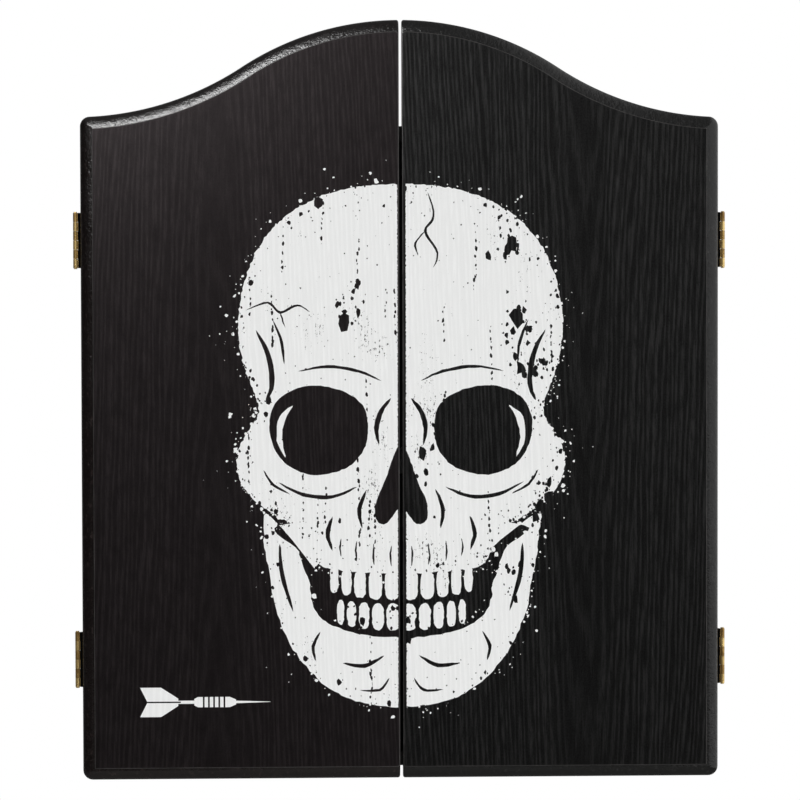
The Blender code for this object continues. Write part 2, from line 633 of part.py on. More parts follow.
def dart_rack(side_name, finish):
    """A ledge with three holes that darts stand in, a flange against the door, and two end cheeks."""
    middle = SIDES[side_name] * RACK_MIDDLE_X
    front = RACK_BACK + RACK_DEPTH
    flange = RACK_BACK + RACK_FLANGE_THICK
    shelf_low = RACK_SHELF_TOP - RACK_SHELF_THICK
    section = [(RACK_BACK, shelf_low), (front, shelf_low), (front, RACK_SHELF_TOP), (flange, RACK_SHELF_TOP)]
    section += [(flange, RACK_FLANGE_TOP), (RACK_BACK, RACK_FLANGE_TOP)]
    outline = [(middle - RACK_HALF_LENGTH, y, z) for y, z in section]
    obj = ease(prism(f"{side_name}_dart_rack", outline, (2 * RACK_HALF_LENGTH, 0, 0), finish), SMALL_EASE)

    back, toe = RACK_BACK + CHEEK_SET_IN, front - CHEEK_SET_IN
    low, high = shelf_low + CHEEK_SET_IN, RACK_FLANGE_TOP - CHEEK_SET_IN
    cheek = [(back, low), (toe, low), (toe, RACK_SHELF_TOP + RACK_CHEEK), (flange, high), (back, high)]
    first = middle - RACK_HALF_LENGTH + CHEEK_SET_IN
    last = middle + RACK_HALF_LENGTH - CHEEK_SET_IN - RACK_CHEEK
    bm = bmesh.new()
    for start in (first, last):
        prism_into(bm, [(start, y, z) for y, z in cheek], (RACK_CHEEK, 0, 0))
    boolean(obj, "UNION", add(f"{side_name}_rack_cheeks", bm))

    hole_y = DOOR_BACK + DART_HOLE_OUT
    places = [(middle + i * DART_HOLE_SPACING, hole_y, RACK_SHELF_TOP) for i in (-1, 0, 1)]
    drill(obj, [(place, (0, 0, -1), DART_HOLE_RADIUS, RACK_SHELF_THICK + PAST) for place in places], 20)
    return obj


# Putting it together.


def build_case(finishes):
    cross_rail("bottom_rail", -1, finishes["paint"])
    top_rail(finishes["paint"])
    back_panel(finishes["lining"])
    board_bracket(finishes["steel"])
    for side_name in SIDES:
        side_rail(side_name, finishes["paint"])
        bracket_screw(side_name, finishes["steel"])
        catch_housing(side_name, finishes["plastic"])
        catch_magnet(side_name, finishes["ferrite"])
        catch_screws(side_name, finishes["steel"])
        hinge_screws(side_name, "case", 1, CASE_SCREW_LENGTH, finishes["brass"])
        for level_name in LEVELS:
            catch_pole(side_name, level_name, finishes["steel"])
            case_leaf(side_name, level_name, finishes["brass"])
            hinge_pin(side_name, level_name, finishes["brass"])


def build_door(side_name, finishes):
    """One door and all that swings with it, on an empty that stands on the hinge axis."""
    axis = bpy.data.objects.new(f"{side_name}_door_axis", None)
    axis.location = (SIDES[side_name] * AXIS_X, AXIS_Y, 0)
    bpy.context.scene.collection.objects.link(axis)
    pieces = [
        door_panel(side_name, finishes["veneer"]),
        scoreboard(side_name, finishes["writing"]),
        dart_rack(side_name, finishes["plastic"]),
        strike_plate(side_name, finishes["steel"]),
        strike_screw(side_name, finishes["steel"]),
    ]
    pieces += [door_leaf(side_name, level_name, finishes["brass"]) for level_name in LEVELS]
    pieces += hinge_screws(side_name, "door", -1, DOOR_SCREW_LENGTH, finishes["brass"])
    for piece in pieces:
        hang_on(piece, axis)
        for modifier in piece.modifiers:
            if modifier.type == "BOOLEAN":
                hang_on(modifier.object, axis)


def main():
    for obj in list(bpy.data.objects):
        bpy.data.objects.remove(obj)
    finishes = make_materials()
    build_case(finishes)
    for side_name in SIDES:
        build_door(side_name, finishes)


main()
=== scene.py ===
"""The looks of the dart board cabinet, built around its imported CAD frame.

Metres, +Z up, doors facing -Y. X = Z = 0 is the centre of the board that hangs inside.
"""

import json
import math
import random

import bmesh
import bpy
from mathutils import Matrix, Vector, noise
from mathutils.geometry import delaunay_2d_cdt

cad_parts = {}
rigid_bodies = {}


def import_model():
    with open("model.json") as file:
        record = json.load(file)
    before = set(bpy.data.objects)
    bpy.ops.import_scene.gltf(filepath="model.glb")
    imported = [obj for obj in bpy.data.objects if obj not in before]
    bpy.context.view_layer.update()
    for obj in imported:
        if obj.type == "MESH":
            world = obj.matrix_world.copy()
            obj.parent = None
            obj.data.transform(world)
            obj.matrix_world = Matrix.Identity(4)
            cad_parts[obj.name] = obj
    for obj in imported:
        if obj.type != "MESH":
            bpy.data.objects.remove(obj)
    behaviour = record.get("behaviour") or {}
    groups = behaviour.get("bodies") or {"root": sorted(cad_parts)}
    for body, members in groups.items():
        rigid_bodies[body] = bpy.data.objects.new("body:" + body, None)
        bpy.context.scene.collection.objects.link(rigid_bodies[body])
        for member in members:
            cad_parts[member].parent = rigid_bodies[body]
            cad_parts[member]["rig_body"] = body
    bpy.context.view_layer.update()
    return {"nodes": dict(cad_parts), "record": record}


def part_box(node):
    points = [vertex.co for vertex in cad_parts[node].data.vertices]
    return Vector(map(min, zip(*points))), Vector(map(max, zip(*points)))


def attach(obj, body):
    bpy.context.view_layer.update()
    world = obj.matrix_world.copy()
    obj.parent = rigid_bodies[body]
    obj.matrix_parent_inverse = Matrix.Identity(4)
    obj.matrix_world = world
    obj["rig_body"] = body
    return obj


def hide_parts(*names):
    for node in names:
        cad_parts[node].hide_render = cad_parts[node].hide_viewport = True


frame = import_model()

MM = 0.001
SIDES = {"left": -1, "right": 1}

# Places that come from the frame.
DOOR_LOW, DOOR_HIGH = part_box("right_door_panel")
HALF_GAP = DOOR_LOW.x
HALF_DOORS = DOOR_HIGH.x
DOOR_BOTTOM = DOOR_LOW.z
DOOR_FRONT = DOOR_LOW.y
DOOR_BACK = DOOR_HIGH.y
ARCH_TOP = DOOR_HIGH.z
PIN_X, PIN_Y = ((low + high) / 2 for low, high in list(zip(*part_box("right_upper_hinge_pin")))[:2])
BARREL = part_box("right_upper_hinge_case_leaf")[1].x - PIN_X
SLOTS = {row["node"]: row["material_slot"] for row in frame["record"]["subparts"]}

# The rest of the doors' shape, as it was drawn in CAD, and how finely it is drawn here.
CROWN_RADIUS = 235.5 * MM
CROWN_ANGLE = math.radians(33.2)
SHOULDER_RADIUS = 247 * MM
CORNER_RADIUS = 8 * MM
MOULD_WIDTH = 10 * MM
MOULD_DEPTH = 8.5 * MM
MOULD_STEP = 0.6 * MM
MOULD_SWEEP = math.radians(60)  # the share of a quarter ellipse that the roundover's section sweeps
MEETING_EASE = 0.9 * MM
MEETING_CORNER = 1.8 * MM  # the corners at the two ends of a meeting edge
BACK_EASE = 0.5 * MM
ARCH_STEPS, CORNER_STEPS, MEETING_STEPS = 64, 8, 4
MOULD_STEPS, LIP_STEPS = 20, 4
FOIL, PAINT, FOIL_EDGE = 0, 1, 2  # the order of a door's materials

FIGURE_X = 152 * MM  # the middle of the flame figure in each door's foil

# The print and the hardware.
INK_THICK = 0.08 * MM
WINDOW_REACH, WINDOW_STEP = 300, 0.9  # how far a door's print can reach, and how finely its ragged end is drawn
CELL = 8  # side of the squares that the print's shapes are sorted into
SPATTER, EDGE_CHIPS, PATCHES, RUNS, SPECKS = 520, 420, 11, 26, 420
TURNED_STEPS = 28
MERGE = 0.001 * MM  # points closer than this are one


# Materials.


class Graph:
    """Short ways to add shader nodes to a node tree."""

    def __init__(self, tree):
        self.tree = tree

    def fill(self, socket, value):
        if isinstance(value, bpy.types.NodeSocket):
            self.tree.links.new(value, socket)
        else:
            socket.default_value = value

    def node(self, kind, settings=None, **inputs):
        made = self.tree.nodes.new("ShaderNode" + kind)
        for key, value in (settings or {}).items():
            setattr(made, key, value)
        for key, value in inputs.items():
            self.fill(made.inputs[key.replace("_", " ")], value)
        return made

    def calc(self, operation, first, second=0.0):
        made = self.node("Math", {"operation": operation})
        self.fill(made.inputs[0], first)
        self.fill(made.inputs[1], second)
        return made.outputs[0]

    def add(self, first, second):
        return self.calc("ADD", first, second)

    def times(self, first, second):
        return self.calc("MULTIPLY", first, second)

    def spread(self, value, low, high, to_low=0.0, to_high=1.0):
        """Maps low..high to to_low..to_high, held at both ends."""
        made = self.node("MapRange", None, Value=value, From_Min=low, From_Max=high, To_Min=to_low, To_Max=to_high)
        return made.outputs["Result"]

    def mix(self, factor, first, second):
        made = self.node("Mix", {"data_type": "RGBA"})
        self.fill(made.inputs[0], factor)
        self.fill(made.inputs[6], first if isinstance(first, bpy.types.NodeSocket) else (*first, 1))
        self.fill(made.inputs[7], second if isinstance(second, bpy.types.NodeSocket) else (*second, 1))
        return made.outputs[2]


class Surface(Graph):
    """A Principled material. Its vectors are the piece's own metres at rest, turned half round if asked."""

    def __init__(self, name, colour, roughness, metallic=0.0, turned=False):
        self.material = bpy.data.materials.new(name)
        self.material.use_nodes = True
        super().__init__(self.material.node_tree)
        self.shader = self.tree.nodes["Principled BSDF"]
        self.put("Base Color", (*colour, 1))
        self.put("Roughness", roughness)
        self.put("Metallic", metallic)
        self.position = self.node("TexCoord").outputs["Object"]
        if turned:
            self.position = self.node("Mapping", None, Vector=self.position, Scale=(-1, 1, -1)).outputs[0]
        self.axes = self.node("SeparateXYZ", Vector=self.position).outputs

    def put(self, socket, value):
        self.fill(self.shader.inputs[socket], value)

    def noise(self, scale, detail=2.0, roughness=0.5, shift=(0, 0, 0), low=0.0, high=1.0):
        """Noise whose grain is 1 / scale metres along each axis, with low..high stretched to 0..1."""
        placed = self.node("Mapping", None, Vector=self.position, Scale=scale, Location=shift).outputs[0]
        made = self.node("TexNoise", None, Vector=placed, Scale=1.0, Detail=detail, Roughness=roughness)
        return self.spread(made.outputs["Fac"], low, high)

    def bump(self, height, distance, strength=1.0):
        self.put("Normal", self.node("Bump", None, Height=height, Distance=distance, Strength=strength).outputs[0])


def ash_grain(surface):
    """0 to 1: the light streaks of flat-sawn ash, with flames about the line X = FIGURE_X."""
    x, _, z = surface.axes
    sway = surface.add(surface.noise((9, 1, 1.6), 2), -0.5)
    wobble = surface.add(surface.noise((46, 1, 7), 2, shift=(3, 0, 0)), -0.5)
    across = surface.add(surface.add(x, -FIGURE_X), surface.times(sway, 0.024))
    across = surface.add(across, surface.times(wobble, 0.006))
    radius = surface.calc("SQRT", surface.add(surface.times(across, across), 0.0007))
    rings = surface.add(surface.times(radius, 270), surface.times(z, -11))
    uneven = surface.noise((90, 1, 4), 3, 0.6, shift=(9, 0, 2))
    rings = surface.add(rings, surface.times(uneven, 2.8))
    ring = surface.calc("SINE", surface.times(rings, 2 * math.pi))
    ring = surface.spread(ring, -0.5, 0.8)
    pores = surface.noise((560, 1, 50), 3, 0.7, shift=(5, 0, 7), low=0.38, high=0.62)
    fine = surface.noise((1200, 1, 700), 2, 0.7, shift=(2, 0, 11), low=0.38, high=0.62)
    broad = surface.noise((95, 1, 3.5), 3, 0.65, shift=(7, 0, 1), low=0.3, high=0.7)
    flank = surface.spread(radius, 0.027, 0.04, 0.5, 1)
    streaks = surface.times(surface.times(ring, flank), surface.add(surface.times(pores, 0.7), 0.3))
    grain = surface.add(surface.times(streaks, 0.62), surface.times(surface.times(broad, pores), 0.3))
    return surface.add(grain, surface.times(fine, 0.2))


def ash_foil(name, turned, dark, light, shine, mottle, tint=(1, 1, 1)):
    """Black foil with an ash grain. The mottle is how cloudy its sheen is, from 0 to 1, and the tint colours it."""
    surface = Surface(name, dark, 0.34, turned=turned)
    grain = ash_grain(surface)
    cloud = surface.noise((85, 1, 60), 4, 0.7, shift=(4, 0, 3), low=0.32, high=0.68)
    fleck = surface.noise((620, 1, 330), 3, 0.75, shift=(6, 0, 2), low=0.6, high=0.72)
    tone = surface.add(surface.times(grain, 1 - 0.3 * mottle), surface.times(surface.add(cloud, fleck), 0.3 * mottle))
    surface.put("Base Color", surface.mix(tone, dark, light))
    surface.put("Specular IOR Level", surface.spread(tone, 0, 1, *shine))
    surface.put("Specular Tint", (*tint, 1))
    height = surface.add(surface.times(grain, 1 - 0.6 * mottle), surface.times(fleck, mottle))
    surface.bump(height, 0.1 * MM, 0.35)
    return surface.material


def satin_paint(name, colour, rough=(0.2, 0.3)):
    """Sprayed black paint: orange peel, dust under the coat and patches that are rubbed more or less."""
    surface = Surface(name, colour, 0.3)
    cloud = surface.noise((60, 60, 60), 3)
    surface.put("Roughness", surface.spread(cloud, 0.3, 0.7, *rough))
    worn = surface.noise((420, 420, 160), 3, 0.7, shift=(3, 1, 4), low=0.56, high=0.74)
    rubbed = [4.5 * value + 0.004 for value in colour]
    surface.put("Base Color", surface.mix(worn, colour, rubbed))
    peel = surface.add(surface.noise((900, 900, 900), 2), surface.times(surface.noise((330, 330, 330), 2), 1.6))
    surface.bump(peel, 0.4 * MM, 0.6)
    return surface.material


def foil_edge(name, pale):
    """The foil's cut edge, where it meets the painted border: a thin, lighter line, lightened as a painted highlight
    along the arris there.
    """
    surface = Surface(name, (0.03, 0.029, 0.028), 0.4)
    patchy = surface.noise((90, 90, 90), 3, 0.6, low=0.3, high=0.7)
    low, high = ([pale * value for value in tone] for tone in ((0.014, 0.0135, 0.013), (0.045, 0.042, 0.041)))
    surface.put("Base Color", surface.mix(patchy, low, high))
    return surface.material


def line_paint(name):
    """The white of the scoreboards' lines: a little thin in places."""
    surface = Surface(name, (0.62, 0.62, 0.6), 0.6)
    thin = surface.noise((300, 300, 120), 4, 0.7, low=0.45, high=0.75)
    surface.put("Base Color", surface.mix(thin, (0.66, 0.66, 0.64), (0.34, 0.34, 0.33)))
    surface.bump(thin, 0.03 * MM, 0.5)
    return surface.material


def matt_board(name):
    """Black lined fibreboard: short pale fibres in a matt black face."""
    surface = Surface(name, (0.014, 0.014, 0.014), 0.8)
    fibres = surface.noise((700, 260, 170), 4, 0.7, low=0.45, high=0.75)
    cloud = surface.noise((11, 11, 11), 3, 0.6, low=0.3, high=0.7)
    tone = surface.add(surface.times(fibres, 0.6), surface.times(cloud, 0.4))
    surface.put("Base Color", surface.mix(tone, (0.008, 0.008, 0.008), (0.024, 0.0235, 0.023)))
    surface.put("Roughness", surface.spread(cloud, 0, 1, 0.68, 0.85))
    surface.bump(surface.add(fibres, surface.noise((1500, 1500, 1500), 2)), 0.12 * MM, 0.5)
    return surface.material


def writing_face(name):
    """A matt writing surface, with a haze of rubbed-out chalk and a few fine scratches."""
    surface = Surface(name, (0.009, 0.011, 0.01), 0.6)
    wiped = surface.noise((16, 1, 26), 5, 0.7, shift=(2, 0, 6), low=0.4, high=0.85)
    grit = surface.noise((900, 900, 900), 3, 0.7, low=0.4, high=0.7)
    haze = surface.times(wiped, surface.add(surface.times(grit, 0.6), 0.4))
    surface.put("Base Color", surface.mix(haze, (0.007, 0.009, 0.0082), (0.032, 0.034, 0.033)))
    surface.put("Roughness", surface.spread(haze, 0, 1, 0.5, 0.8))
    surface.bump(grit, 0.05 * MM, 0.5)
    return surface.material


def moulded(name):
    """Black injection-moulded plastic with a fine spark-eroded texture."""
    surface = Surface(name, (0.011, 0.011, 0.0115), 0.42)
    cloud = surface.noise((34, 34, 34), 3, 0.6, low=0.3, high=0.7)
    surface.put("Base Color", surface.mix(cloud, (0.009, 0.009, 0.0095), (0.016, 0.016, 0.0165)))
    surface.put("Roughness", surface.spread(cloud, 0, 1, 0.36, 0.5))
    surface.bump(surface.noise((1800, 1800, 1800), 2, 0.6), 0.08 * MM, 0.7)
    return surface.material


def brass_plate(name, bright, brown, aged, shade_strip=False):
    """Satin brass plate that browns in spots and at the knuckle joints. Leaves that ask for it are black beside the
    door: painted shade on the strip of leaf in the narrow gap between the door's edge and the knuckles.
    """
    surface = Surface(name, bright, 0.3, 0.8)
    spots = surface.noise((380, 380, 240), 4, 0.7, low=0.62 - 0.16 * aged, high=0.7 - 0.1 * aged)
    cloud = surface.noise((150, 150, 90), 3, 0.6, shift=(5, 5, 5), low=0.35, high=0.65)
    tone = surface.calc("MAXIMUM", surface.times(spots, 0.8), surface.times(cloud, 0.35 + 0.3 * aged))
    colour = surface.mix(tone, bright, brown)
    surface.put("Roughness", surface.spread(tone, 0, 1, 0.24, 0.42))
    if shade_strip:
        # Painted shade: in front of the pin and beside the door the leaf is near black, not metal and without
        # reflection.
        x, y, _ = surface.axes
        beside = surface.calc("LESS_THAN", surface.calc("ABSOLUTE", x), PIN_X - BARREL)
        ahead = surface.calc("LESS_THAN", y, PIN_Y - 0.6 * MM)
        painted_shade = surface.times(beside, ahead)
        colour = surface.mix(painted_shade, colour, (0.002, 0.002, 0.002))
        surface.put("Metallic", surface.spread(painted_shade, 0, 1, 0.8, 0))
        surface.put("Specular IOR Level", surface.spread(painted_shade, 0, 1, 0.5, 0))
    surface.put("Base Color", colour)
    drawn = surface.noise((1500, 1500, 60), 3, 0.7)
    surface.bump(surface.add(drawn, spots), 0.05 * MM, 0.4)
    return surface.material


def zinc_plate(name):
    """Bright zinc: faintly clouded, with fine rolling lines."""
    surface = Surface(name, (0.58, 0.59, 0.6), 0.32, 1.0)
    cloud = surface.noise((260, 260, 260), 4, 0.65, low=0.3, high=0.7)
    lines = surface.noise((90, 1600, 1600), 3, 0.7)
    surface.put("Base Color", surface.mix(cloud, (0.54, 0.55, 0.57), (0.64, 0.64, 0.62)))
    surface.put("Roughness", surface.spread(surface.add(cloud, lines), 0.4, 1.5, 0.3, 0.42))
    surface.bump(lines, 0.04 * MM, 0.5)
    return surface.material


def sintered(name):
    """Ferrite: dark grey, matt and slightly pitted."""
    surface = Surface(name, (0.035, 0.035, 0.037), 0.6)
    grains = surface.noise((1400, 1400, 1400), 3, 0.7, low=0.35, high=0.65)
    surface.put("Base Color", surface.mix(grains, (0.022, 0.022, 0.024), (0.05, 0.05, 0.052)))
    surface.put("Roughness", surface.spread(grains, 0, 1, 0.5, 0.72))
    surface.bump(grains, 0.1 * MM, 0.6)
    return surface.material


def ink(name, turned):
    """White print, faintly streaked by the grain under it and worn through in places."""
    surface = Surface(name, (0.8, 0.8, 0.79), 0.55, turned=turned)
    grain = ash_grain(surface)
    _, _, z = surface.axes
    patches = surface.noise((24, 1, 15), 3, 0.6, shift=(5, 0, 5), low=0.42, high=0.75)
    flecks = surface.noise((430, 1, 320), 4, 0.75, shift=(9, 0, 9))
    scrapes = surface.noise((650, 1, 60), 3, 0.7, shift=(1, 0, 13))
    rub = surface.add(surface.times(flecks, 0.6), surface.times(scrapes, 0.4))
    worn = surface.calc("GREATER_THAN", rub, surface.spread(patches, 0, 1, 0.7, 0.53))
    whole = surface.mix(grain, (0.8, 0.805, 0.8), (0.88, 0.885, 0.88))
    surface.put("Base Color", surface.mix(worn, whole, (0.02, 0.019, 0.019)))
    return surface.material


# Shapes.


def keep_flats_flat(obj):
    """Gives a smooth-shaded mesh normals that its large faces decide, and bakes them."""
    modifier = obj.modifiers.new("weighted", "WEIGHTED_NORMAL")
    modifier.weight = 100
    modifier.keep_sharp = True
    graph = bpy.context.evaluated_depsgraph_get()
    baked = bpy.data.meshes.new_from_object(obj.evaluated_get(graph))
    obj.modifiers.clear()
    plain, obj.data = obj.data, baked
    bpy.data.meshes.remove(plain)
    baked.name = obj.name


def add(name, bm, body, materials, node=None, smooth_angle=None):
    """Turns a bmesh into a piece that rides on a body and may stand for a CAD node."""
    bmesh.ops.remove_doubles(bm, verts=bm.verts, dist=MERGE)
    bmesh.ops.recalc_face_normals(bm, faces=bm.faces)
    mesh = bpy.data.meshes.new(name)
    bm.to_mesh(mesh)
    bm.free()
    if smooth_angle:
        mesh.shade_smooth()
        mesh.set_sharp_from_angle(angle=smooth_angle)
    for material in materials:
        mesh.materials.append(material)
    obj = bpy.data.objects.new(name, mesh)
    bpy.context.scene.collection.objects.link(obj)
    if smooth_angle:
        keep_flats_flat(obj)
    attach(obj, body)
    if node:
        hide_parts(node)
    return obj


def arc_points(centre, radius, start, end, steps):
    """Points on an arc, with angles measured from +X towards +Z."""
    angles = [start + (end - start) * i / steps for i in range(steps + 1)]
    return [(centre[0] + radius * math.cos(a), centre[1] + radius * math.sin(a)) for a in angles]


def door_edge(inset, meeting_x):
    """The right door's edge, moved inwards by inset, from the meeting edge's foot round to its top."""
    outer = HALF_DOORS - inset
    corner = max(CORNER_RADIUS - inset, 0)
    foot = DOOR_BOTTOM + inset
    round_x = meeting_x + MEETING_CORNER
    points = arc_points((round_x, foot + MEETING_CORNER), MEETING_CORNER, math.pi, 1.5 * math.pi, MEETING_STEPS)
    points += arc_points((outer - corner, foot + corner), corner, -math.pi / 2, 0, CORNER_STEPS)
    crown = (0, ARCH_TOP - CROWN_RADIUS)
    reach = CROWN_RADIUS + SHOULDER_RADIUS
    valley = (reach * math.sin(CROWN_ANGLE), crown[1] + reach * math.cos(CROWN_ANGLE))
    concave, convex = SHOULDER_RADIUS + inset, CROWN_RADIUS - inset
    centre_x = outer - corner
    centre_z = valley[1] - math.sqrt((concave + corner) ** 2 - (valley[0] - centre_x) ** 2)
    lean = math.atan2(valley[1] - centre_z, valley[0] - centre_x)
    points += arc_points((centre_x, centre_z), corner, 0, lean, CORNER_STEPS)
    start, end = lean + math.pi, 1.5 * math.pi - CROWN_ANGLE
    points += arc_points(valley, concave, start, end, ARCH_STEPS)[1:]
    start, end = math.pi / 2 - CROWN_ANGLE, math.acos(round_x / convex)
    points += arc_points(crown, convex, start, end, ARCH_STEPS)[1:]
    round_z = points[-1][1] - MEETING_CORNER
    return points + arc_points((round_x, round_z), MEETING_CORNER, math.pi / 2, math.pi, MEETING_STEPS)[1:]


def door_rings():
    """(inset, x of the meeting edge, y) of each ring of a door's edge, from the back to the flat front."""
    lip = DOOR_FRONT + MOULD_STEP
    half_width = MOULD_WIDTH / (1 - math.cos(MOULD_SWEEP))
    half_height = (MOULD_DEPTH - MOULD_STEP) / math.sin(MOULD_SWEEP)
    profile = [(BACK_EASE, DOOR_BACK), (0, DOOR_BACK - BACK_EASE)]
    for i in range(MOULD_STEPS + 1):
        a = MOULD_SWEEP * i / MOULD_STEPS
        y = DOOR_FRONT + MOULD_DEPTH - half_height * math.sin(a)
        profile.append((half_width * (1 - math.cos(a)), y))
    for i in range(1, LIP_STEPS + 1):
        a = math.pi / 2 * i / LIP_STEPS
        profile.append((MOULD_WIDTH + MOULD_STEP * (1 - math.cos(a)), lip - MOULD_STEP * math.sin(a)))
    rings = []
    for inset, y in profile:
        rise = max(MEETING_EASE - (y - DOOR_FRONT), 0)
        ease = MEETING_EASE - math.sqrt(MEETING_EASE**2 - rise**2)
        rings.append((inset, HALF_GAP + ease, y))
    return rings


def door_panel(side_name, *materials):
    """A door's board. Its flat front and back are foil, the border is paint, and the foil's cut edge is between, in a
    lighter material that is partly a painted highlight.
    """
    side = SIDES[side_name]
    bm = bmesh.new()
    rings = []
    for inset, meeting_x, y in door_rings():
        rings.append([bm.verts.new((side * x, y, z)) for x, z in door_edge(inset, meeting_x)])
    for step, (back, front) in enumerate(zip(rings, rings[1:])):
        for i in range(len(back) - 1):
            side_face = bm.faces.new([back[i], back[i + 1], front[i + 1], front[i]])
            side_face.material_index = PAINT if step < len(rings) - 1 - LIP_STEPS else FOIL_EDGE
        meeting_face = bm.faces.new([back[-1], back[0], front[0], front[-1]])
        # The eased front arris of the meeting edge takes the lighter edge material too: a painted highlight along it.
        meeting_face.material_index = FOIL_EDGE if back[0].co.y < DOOR_FRONT + MEETING_EASE else PAINT
    for ring in (rings[0], rings[-1]):
        bm.faces.new(ring).material_index = FOIL
    bmesh.ops.dissolve_degenerate(bm, dist=MERGE, edges=bm.edges)
    name = f"{side_name}_door_board"
    return add(name, bm, f"{side_name}_door", materials, f"{side_name}_door_panel", math.radians(25))


# The print. Shapes are drawn in millimetres on the doors' plane, as (x, z), and painted in order.


def loop_through(points, steps=6):
    """A smooth closed curve through the points."""
    count = len(points)
    curve = []
    for i in range(count):
        p0, p1, p2, p3 = (Vector(points[(i + k) % count]) for k in (-1, 0, 1, 2))
        for j in range(steps):
            t = j / steps
            turn = (p2 - p0) * t + (2 * p0 - 5 * p1 + 4 * p2 - p3) * t**2 + (3 * p1 - p0 - 3 * p2 + p3) * t**3
            curve.append(p1 + turn / 2)
    return curve


def both_halves(points):
    """A symmetrical closed outline, from its right half, top to bottom."""
    return points + [(-x, z) for x, z in reversed(points) if x > 0]


def mirrored(points):
    return [(-x, z) for x, z in reversed(points)]


def roughened(curve, amount):
    """The curve, ragged like worn ink: its points drift by up to about amount millimetres."""
    rough = []
    for point in curve:
        coarse = noise.noise_vector((point.x / 2.6, point.y / 2.6, 0.0))
        fine = noise.noise_vector((point.x / 0.9, point.y / 0.9, 5.0))
        rough.append(point + (coarse.xy + fine.xy * 0.35) * amount)
    return rough


def blob(centre, radius, rng, stretch=1.0, corners=7):
    """A ragged spot, taller than it is wide by stretch."""
    turn = rng.random() * math.tau
    reach = [radius * rng.uniform(0.55, 1.25) for _ in range(corners)]
    angles = [turn + math.tau * i / corners for i in range(corners)]
    return [centre + Vector((r * math.cos(a), r * math.sin(a) * stretch)) for r, a in zip(reach, angles)]


def stroke(points, width, steps=5):
    """A line that tapers to both ends, through the points."""
    line = loop_through([points[0], *points, points[-1]], steps)[steps : steps * len(points) + 1]
    sides = []
    for sign in (1, -1):
        side = []
        for i, point in enumerate(line[1:-1], 1):
            along = (line[i + 1] - line[i - 1]).normalized()
            swell = math.sin(math.pi * i / (len(line) - 1)) ** 0.7 * width / 2
            side.append(point + Vector((along.y, -along.x)) * swell * sign)
        sides.append(side)
    return [line[0], *sides[0], line[-1], *reversed(sides[1])]


class Region:
    """The inside of a closed curve. Its sides are kept by height, so that a test only looks at a few."""

    def __init__(self, curve):
        self.shelves = {}
        for a, b in zip(curve, curve[1:] + curve[:1]):
            low, high = sorted((a.y, b.y))
            for shelf in range(math.floor(low), math.floor(high) + 1):
                self.shelves.setdefault(shelf, []).append((a, b))

    def holds(self, point):
        inside = False
        for a, b in self.shelves.get(math.floor(point.y), ()):
            if (a.y > point.y) != (b.y > point.y):
                if point.x < a.x + (b.x - a.x) * (point.y - a.y) / (b.y - a.y):
                    inside = not inside
        return inside


def cell_of(x, z):
    return math.floor(x / CELL), math.floor(z / CELL)


def cells_of(curve):
    """The cells that a curve's box touches."""
    xs, zs = [p.x for p in curve], [p.y for p in curve]
    (i0, k0), (i1, k1) = cell_of(min(xs), min(zs)), cell_of(max(xs), max(zs))
    return [(i, k) for i in range(i0, i1 + 1) for k in range(k0, k1 + 1)]


def painted(shapes, window):
    """Triangles, as (points, index triples), of what is inked inside the window.

    Each shape is (curve, inked). Where shapes overlap, the last one wins.
    """
    curves = [window] + [curve for curve, _ in shapes]
    regions = [Region(curve) for curve in curves]
    points, edges, cells = [], [], {}
    for number, curve in enumerate(curves):
        start, count = len(points), len(curve)
        points += curve
        edges += [(start + i, start + (i + 1) % count) for i in range(count)]
        for cell in cells_of(curve):
            cells.setdefault(cell, []).append(number)
    corners, _, faces, *_ = delaunay_2d_cdt(points, edges, [], 0, 1e-5, False)
    triangles = []
    for face in faces:
        middle = sum((corners[i] for i in face), Vector((0, 0))) / 3
        near = cells.get(cell_of(middle.x, middle.y), [])
        if len(near) > 1 and near[0] == 0 and regions[0].holds(middle):
            last = next((number for number in reversed(near[1:]) if regions[number].holds(middle)), 0)
            if last and shapes[last - 1][1]:
                triangles.append(face)
    return corners, triangles


def printed(name, shapes, side_name, margin, material):
    """A film of ink on one door, ragged where it ends near the meeting edge."""
    side = SIDES[side_name]
    inner = (HALF_GAP + MEETING_EASE + margin) / MM
    count = int(2 * WINDOW_REACH / WINDOW_STEP) + 1
    window = [Vector((side * inner, WINDOW_STEP * i - WINDOW_REACH)) for i in range(count)]
    window = [p + Vector((noise.fractal((7 * side, p.y / 1.6, 3), 1, 2, 3) * 0.7, 0)) for p in window]
    window += [Vector((side * WINDOW_REACH, z)) for z in (WINDOW_REACH, -WINDOW_REACH)]
    points, triangles = painted(shapes, window)
    bm = bmesh.new()
    made = [bm.verts.new((p.x * MM, DOOR_FRONT - INK_THICK, p.y * MM)) for p in points]
    for triangle in triangles:
        bm.faces.new([made[i] for i in triangle])
    bmesh.ops.delete(bm, geom=[v for v in bm.verts if not v.link_faces], context="VERTS")
    base = bmesh.ops.extrude_face_region(bm, geom=bm.faces[:])["geom"]
    lowered = [v for v in base if isinstance(v, bmesh.types.BMVert)]
    bmesh.ops.translate(bm, verts=lowered, vec=(0, INK_THICK, 0))
    return add(name, bm, f"{side_name}_door", [material])


